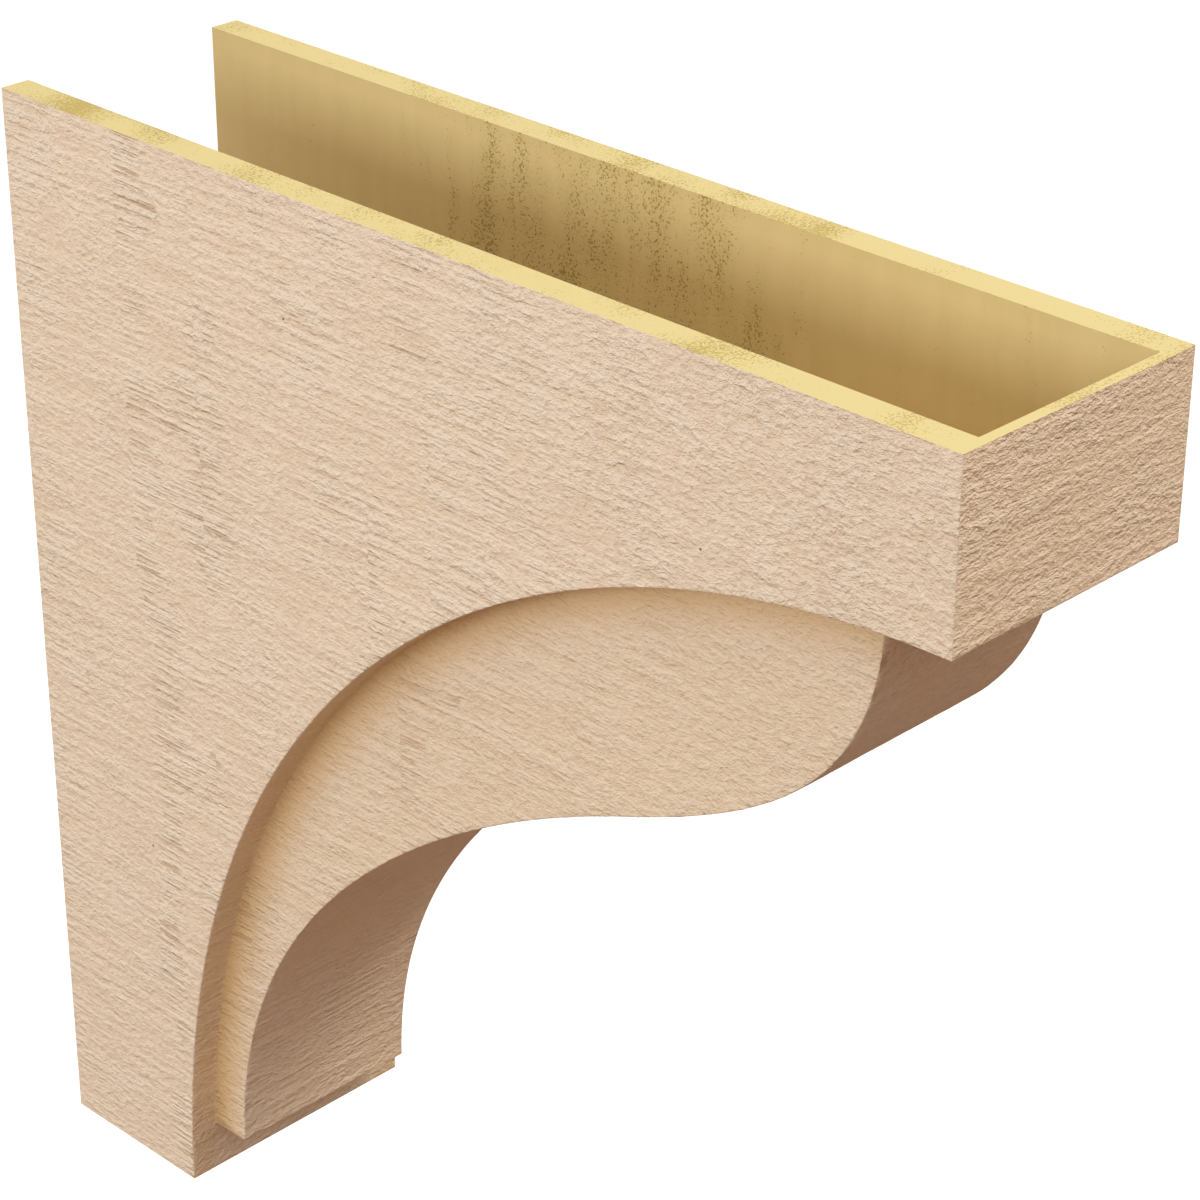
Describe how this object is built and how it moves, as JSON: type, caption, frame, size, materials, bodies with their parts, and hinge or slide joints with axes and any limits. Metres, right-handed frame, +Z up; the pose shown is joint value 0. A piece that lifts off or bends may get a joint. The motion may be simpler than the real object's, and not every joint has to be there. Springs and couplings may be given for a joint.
{
  "type": "corbel",
  "caption": "Hollow moulded corbel with a rough-sawn timber face: arched cheeks over a scrolled block, open at the top and the back.",
  "frame": {"origin": "on the wall plane, in the middle of the width and half-way up the rear edge of the closed foot, 8.55 mm above the underside", "axes": "+Y out of the open back into the wall, so the corbel projects along -Y; +Z up towards the open top; X across the width"},
  "size_m": [0.1524, 0.6096, 0.6097],
  "materials": {
    "primed_foam": "matt primed rigid urethane foam with a rough-sawn face, raw yellow foam on the top rim and inside"
  },
  "bodies": {
    "root": {"corbel_shell": "primed_foam"}
  },
  "joints": []
}
